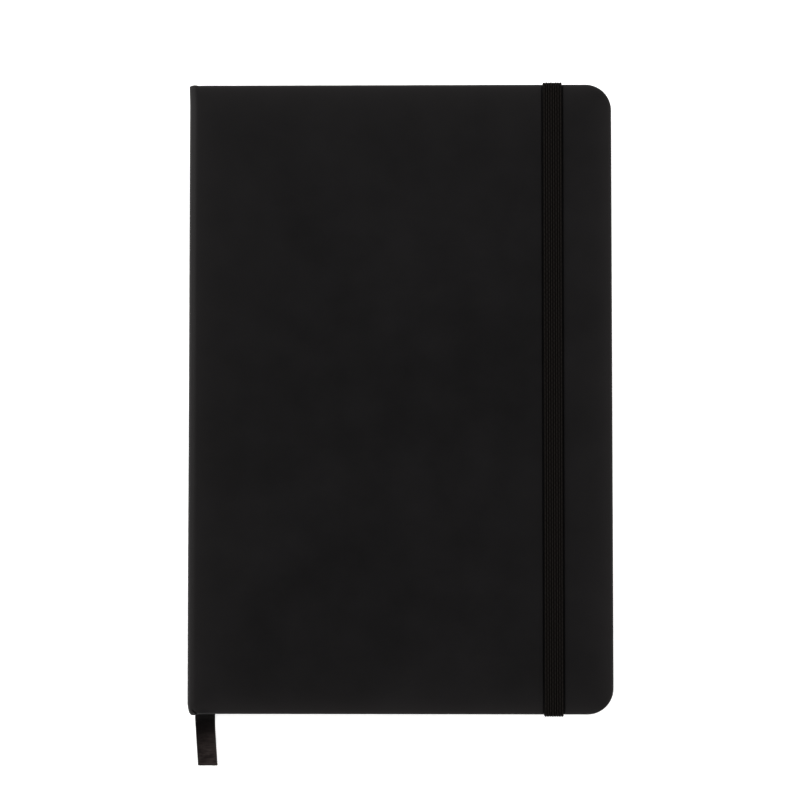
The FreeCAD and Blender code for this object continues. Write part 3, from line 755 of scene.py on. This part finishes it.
def make_cover(material, board):
    """The spine, the two joints and the two covers, each a closed piece of the same skin."""
    spine_stations = np.linspace(-JOINT_START, JOINT_START, 9)
    card = SKIN - GLUE_GAP
    points, faces = strip_shell(spine_stations, 1, CARD_BACK - SPINE_FACE, card + 0.01)
    spine = make_piece("spine_cover", points, faces, material, "cover_skin")
    mark_edges(spine)
    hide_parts("spine_skin")
    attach(spine, "spine")
    make_card(board)
    stations = np.concatenate([[JOINT_START], np.linspace(SPINE_RUN, FLAT_START, 25), [JOINT_END]])
    for name, body, side in (("front", "front_cover", 1), ("back", "back_cover", -1)):
        points, faces = strip_shell(stations, side, JOINT_THICK, TURN_IN)
        joint = make_piece(f"joint_{name}", points, faces, material, "cover_skin")
        mark_edges(joint)
        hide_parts(f"{name}_joint_skin")
        start = wrap(JOINT_START, 0.0, JOINT_THICK, side)
        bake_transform(joint)
        points, faces = panel_shell(side, name == "back")
        cover = make_piece(f"cover_{name}", points, faces, material, "cover_skin")
        mark_edges(cover)
        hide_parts(f"{name}_cover_skin")
        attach(cover, body)


# ---------------------------------------------------------------- leaves

GAP_SHARE = 0.13      # the pages close up this far beside the ribbon
RIBBON_CLEAR = -40.5  # the pages lie clear of the ribbon from here on


def leaf_columns():
    """Stations across a leaf: close together where it bends, and round the fore-edge corner."""
    corner_start = PAGE_EDGE - PAGE_CORNER
    bend = np.linspace(BEND_START, BEND_END, 17)
    field = np.linspace(BEND_END, corner_start, 8)[1:]
    turns = np.linspace(0, math.pi / 2, 9)[1:]
    x = np.concatenate([bend, field, corner_start + PAGE_CORNER * np.sin(turns)])
    drop = PAGE_CORNER * (1 - np.cos(turns))
    half = np.concatenate([np.full(len(bend) + len(field), PAGE_HALF), PAGE_HALF - drop])
    return x, half


def settle(x, z):
    """Leaves press together away from the ribbon: those near the middle rise or sink a little."""
    share = np.clip((x - RIBBON_CLEAR) / 14.0, 0, 1)
    share = share * share * (3 - 2 * share)
    near = 1 - abs(z - MIDDLE) / (MIDDLE - span("signature_12", Z)[0])
    return z + math.copysign(GAP_SHARE, MIDDLE - z) * near * share


# The rows of a leaf's mesh: how far in from the trimmed edge, and at the tail (-1) or the head (1).
TRIM = ((0, -1), (0.1, -1), (0.1, 1), (0, 1))


def sheet_shell(line, half, thick):
    """Closed sheet that follows a line of (x, z) points, with half its height at each."""
    line = np.asarray(line, float)
    ahead = np.gradient(line, axis=0)
    ahead /= np.linalg.norm(ahead, axis=1)[:, None]
    normal = np.stack([-ahead[:, 1], ahead[:, 0]], axis=1)
    sides = []
    for sign in (0.5, -0.5):
        x, z = (line + normal * thick * sign).T
        rows = [np.stack([x, (half - inset) * end, z], axis=1) for inset, end in TRIM]
        sides.append(np.stack(rows))
    return slab(*sides)


def folded_sheet(low, high, nest, jitter):
    """One sheet of paper folded at the spine: two leaves at heights low and high."""
    x, half = leaf_columns()
    reach = x + jitter * (x > 0)
    upper = list(zip(reach, settle(x, high)))
    lower = list(zip(reach, settle(x, low)))
    middle, rise = (low + high) / 2, (high - low) / 2
    depth = LEAF_BACK - FOLD - LEAF / 2 - 0.085 * nest
    turns = np.linspace(math.pi / 2, -math.pi / 2, 9)[1:-1]
    fold = [(LEAF_BACK - depth * math.cos(a), middle + rise * math.sin(a)) for a in turns]
    line = upper[::-1] + fold + lower
    halves = np.concatenate([half[::-1], np.full(len(fold), PAGE_HALF), half])
    return sheet_shell(line, halves, SHEET)


def single_leaf(height, jitter):
    """One leaf by itself, at a height."""
    x, half = leaf_columns()
    line = list(zip(x + jitter * (x > 0), settle(x, height)))
    return sheet_shell(line, half, SHEET)


def mark_printed(piece):
    """The rules stop just short of the trimmed edges: 1 where they print, 0 at the trim."""
    x, y = (np.array([v.co for v in piece.data.vertices]) / MM)[:, :2].T
    inside = np.minimum((PAGE_EDGE - 0.4 - x) / 0.3, (PAGE_HALF - 0.05 - np.abs(y)) / 0.02)
    layer = piece.data.attributes.new("printed", "FLOAT", "POINT")
    layer.data.foreach_set("value", np.clip(inside, 0, 1).astype(np.float32))


def bend_leaves(piece):
    """Bakes the piece's placement into its points."""
    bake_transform(piece)


def make_signatures(material):
    """Twelve sewn signatures of nested folded sheets."""
    trim = random.Random(21)
    for number in range(1, 13):
        node = f"signature_{number:02d}"
        low, high = span(node, Z)
        count = round((high - low) / LEAF)
        levels = [low + LEAF * (k + 0.5) for k in range(count)]
        parts = []
        if count % 2:
            loose = levels.pop(0 if number > 6 else -1)
            parts.append(single_leaf(loose, trim.uniform(-0.05, 0.05)))
        for nest in range(len(levels) // 2):
            jitter = trim.uniform(-0.07, 0.05)
            parts.append(folded_sheet(levels[nest], levels[-1 - nest], nest, jitter))
        points, faces = gather(parts)
        leaves = make_piece(f"leaves_{number:02d}", points, faces, material, "pages")
        mark_printed(leaves)
        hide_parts(node)
        bend_leaves(leaves)


def make_single_leaves(paper, endpaper):
    """The two loose leaves at the middle opening, and the flyleaf inside each cover."""
    rows = (
        ("middle_leaf_front", "turning_leaf_front", "front_leaf", paper, "pages"),
        ("middle_leaf_rear", "turning_leaf_rear", "rear_leaf", paper, "pages"),
        ("front_flyleaf", "flyleaf_front", "front_cover", endpaper, "endpaper"),
        ("back_flyleaf", "flyleaf_back", "back_cover", endpaper, "endpaper"),
    )
    for node, name, body, material, slot in rows:
        low, high = span(node, Z)
        x, half = leaf_columns()
        height = (low + high) / 2
        line = list(zip(x, settle(x, height) if body.endswith("leaf") else np.full(len(x), height)))
        thick = (high - low) * SHEET / LEAF
        points, faces = sheet_shell(line, half, thick)
        leaf = make_piece(name, points, faces, material, slot)
        mark_printed(leaf)
        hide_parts(node)
        bend_leaves(leaf)


def make_threads(material):
    """The sewing thread, copied from each CAD thread node in linen thread."""
    for half, body in (("front", "front_cover"), ("back", "back_cover")):
        node = f"sewing_thread_{half}"
        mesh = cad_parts[node].data.copy()
        mesh.materials.clear()
        mesh.materials.append(material)
        thread = bpy.data.objects.new(f"thread_{half}", mesh)
        bpy.context.scene.collection.objects.link(thread)
        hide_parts(node)
        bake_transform(thread)


# ---------------------------------------------------------------- elastic

ELASTIC_THICK = 0.5
RIBS = 8
PICK = 0.52           # from one weft yarn to the next


def rib_pattern(run):
    """Stations across the band, and the height of its lengthwise ribs, 0 to about 1, at each
    station and each distance run: the weave pinches a rib at every other pick."""
    across = np.linspace(0, RIBS, RIBS * 6 + 1)
    rib = np.abs(np.sin(math.pi * across)) ** 0.7
    odd = np.where(np.floor(np.minimum(across, RIBS - 0.001)) % 2 == 0, 1, -1)
    beat = np.cos(math.pi * run / PICK)
    return across, rib * (1 + 0.16 * odd * beat[:, None])


def woven_band(name, upper, lower, across, run, material):
    """A closed band between two grids of points, with the weave's own coordinates on it."""
    yarns = np.stack(np.meshgrid(across, run / (2 * PICK)), axis=-1).reshape(-1, 2)
    points, faces = slab(upper, lower)
    return make_piece(name, points, faces, material, "elastic", 75.0, np.tile(yarns, (2, 1)))


def elastic_line(step):
    """Points along the middle of the band's thickness, from the tail slot over the front to the
    head slot, and the distance run at each."""
    side = span("elastic_band", Y)[1] - ELASTIC_THICK / 2
    top = span("elastic_band", Z)[1] - ELASTIC_THICK / 2
    low = span("elastic_band", Z)[0] + 0.2
    top_bend, low_bend = 0.75, 0.32
    half = [(COVER_HALF - 0.9, low), (side - low_bend, low)]
    turns = np.linspace(0, math.pi / 2, 7)[1:]
    for a in turns:
        outward, upward = low_bend * math.sin(a), low_bend * (1 - math.cos(a))
        half.append((side - low_bend + outward, low + upward))
    half.append((side, top - top_bend))
    centre_y, centre_z = side - top_bend, top - top_bend
    half += [(centre_y + top_bend * math.cos(a), centre_z + top_bend * math.sin(a)) for a in turns]
    tail = [(0, -y, z) for y, z in half]
    head = [(0, y, z) for y, z in reversed(half)]
    return evenly(np.array(tail + head), step)


def make_elastic(material):
    """The woven closure band, and its two ends glued down flat under the back pastedown."""
    line, run = elastic_line(PICK / 2)
    ahead = np.gradient(line, axis=0)
    ahead /= np.linalg.norm(ahead, axis=1)[:, None]
    sideways = np.array([1.0, 0.0, 0.0])
    up = np.cross(sideways, ahead)
    across, ribs = rib_pattern(run)
    side = (across / RIBS - 0.5) * BAND_WIDTH
    middle = line[:, None] + sideways * (side + BAND_MIDDLE)[None, :, None]
    upper = middle + up[:, None] * (ELASTIC_THICK / 2 - 0.14 + 0.13 * ribs)[..., None]
    lower = middle - up[:, None] * (ELASTIC_THICK / 2 - 0.10 + 0.07 * ribs)[..., None]
    band = woven_band("elastic_closure", upper, lower, across, run, material)
    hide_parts("elastic_band")
    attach(band, "elastic")
    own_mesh(band)
    for end in ("head", "tail"):
        node = f"elastic_end_{end}"
        low, high = span(node, Y)
        bottom, top = span(node, Z)
        run = np.arange(low, high, PICK / 2)
        across, ribs = rib_pattern(run)
        flat = np.zeros((len(run), len(across), 3))
        flat[..., X] = SLOT_MIDDLE + (across / RIBS - 0.5) * BAND_WIDTH
        flat[..., Y] = run[:, None]
        upper, lower = flat.copy(), flat
        upper[..., Z] = top - 0.10 + 0.08 * ribs
        lower[..., Z] = bottom + 0.06 - 0.05 * ribs
        tab = woven_band(f"elastic_tab_{end}", upper, lower, across, run, material)
        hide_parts(node)
        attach(tab, "back_cover")


# ---------------------------------------------------------------- inside the spine


def upright_cloth(node, step, relief_of):
    """Closed sheet that fills a CAD node standing behind the spine. relief_of shapes its faces."""
    outside, inside = span(node, X)
    y = np.arange(span(node, Y)[0], span(node, Y)[1] + step / 2, step)
    z = np.arange(span(node, Z)[0], span(node, Z)[1] + step / 2, step)
    y, z = np.meshgrid(y, z, indexing="ij")
    dip = relief_of(y, z)
    outer = np.stack([outside + dip, y, z], axis=-1)
    inner = np.stack([inside - dip, y, z], axis=-1)
    return slab(outer, inner)


def make_spine_cloth(gauze, ribbon):
    """The gauze lining on the sewn backs, and the ribbon's end glued beside it."""
    def mesh_of_gauze(y, z):
        warp = 0.5 + 0.5 * np.sin(2 * math.pi * y / GAUZE_PITCH)
        weft = 0.5 + 0.5 * np.sin(2 * math.pi * z / GAUZE_PITCH)
        return 0.07 * (1 - np.maximum(warp ** 3, weft ** 3))

    def cross_ribs(y, z):
        return 0.03 * (1 + np.cos(2 * math.pi * y / RIBBON_PITCH))

    rows = (
        ("spine_lining", "lining_gauze", "gauze", GAUZE_PITCH / 4, mesh_of_gauze, gauze),
        ("ribbon_glued_end", "ribbon_root", "ribbon", RIBBON_PITCH / 4, cross_ribs, ribbon),
    )
    for node, name, slot, step, relief_of, material in rows:
        points, faces = upright_cloth(node, step, relief_of)
        uvs = points[:, [2, 1]] * (1, 2 / RIBBON_PITCH)
        cloth = make_piece(name, points, faces, material, slot, 60.0, uvs)
        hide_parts(node)
        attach(cloth, "spine")


# ---------------------------------------------------------------- CAD nodes that stay


def dress(node, material):
    """Gives a CAD node that stays in view its finish."""
    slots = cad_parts[node].data.materials
    slots.clear()
    slots.append(material)


# ---------------------------------------------------------------- table and light


def add_table():
    """A plain white table top."""
    mesh = bpy.data.meshes.new("table_top")
    far = 8.0
    corners = [(-far, -far, 0), (far, -far, 0), (far, far, 0), (-far, far, 0)]
    mesh.from_pydata(corners, [], [(0, 1, 2, 3)])
    finish = Finish("table_white", Roughness=0.9, Specular_IOR_Level=0.1)
    finish.set("Base Color", (0.82, 0.82, 0.82, 1))
    finish.set("Emission Color", (1.0, 1.0, 1.0, 1))
    finish.set("Emission Strength", 0.6)
    mesh.materials.append(finish.material)
    table = bpy.data.objects.new("table_top", mesh)
    bpy.context.scene.collection.objects.link(table)


def add_room():
    """A studio with pale walls low down all round, and dark overhead where the camera is."""
    world = bpy.data.worlds.new("studio")
    bpy.context.scene.world = world
    world.use_nodes = True
    tree = world.node_tree
    place = tree.nodes.new("ShaderNodeTexCoord")
    split = tree.nodes.new("ShaderNodeSeparateXYZ")
    level = tree.nodes.new("ShaderNodeMapRange")
    tree.links.new(place.outputs["Generated"], split.inputs[0])
    tree.links.new(split.outputs["Z"], level.inputs["Value"])
    level.interpolation_type = "SMOOTHSTEP"
    for name, value in (("From Min", 0.12), ("From Max", 0.36), ("To Min", 0.66), ("To Max", 0.01)):
        level.inputs[name].default_value = value
    background = tree.nodes["Background"]
    background.inputs["Color"].default_value = (1, 1, 1, 1)
    tree.links.new(level.outputs["Result"], background.inputs["Strength"])


def add_lamp(name, place, size, power):
    """A square soft box that faces the middle of the notebook."""
    data = bpy.data.lights.new(name, "AREA")
    data.size = size
    data.energy = power
    lamp = bpy.data.objects.new(name, data)
    bpy.context.scene.collection.objects.link(lamp)
    lamp.location = place
    lamp.rotation_euler = lamp.location.to_track_quat("Z", "Y").to_euler()


def add_light():
    scene = bpy.context.scene
    scene.view_settings.view_transform = "Standard"
    add_room()
    add_lamp("soft_box_left", (-0.9, 0.5, 0.7), 0.8, 15)
    add_lamp("soft_box_right", (1.1, -0.1, 0.7), 0.9, 9.3)
    add_lamp("soft_box_back", (0.1, 1.2, 0.8), 0.9, 10)
    add_lamp("soft_box_front", (-0.1, -1.2, 0.7), 0.9, 8.3)


# ---------------------------------------------------------------- the notebook

add_camera()
RIBBON, PAPER, ENDPAPER, BOARD = ribbon_cloth(), ruled_paper(), end_paper(), grey_board()
make_ribbon(RIBBON)
make_cover(leatherette(), BOARD)
make_signatures(PAPER)
make_single_leaves(PAPER, ENDPAPER)
make_threads(linen_thread())
make_elastic(elastic_cloth())
make_spine_cloth(mull_gauze(), RIBBON)
for node in ("front_board", "back_board"):
    dress(node, BOARD)
for node in ("front_pastedown", "back_pastedown"):
    dress(node, ENDPAPER)
add_table()
add_light()
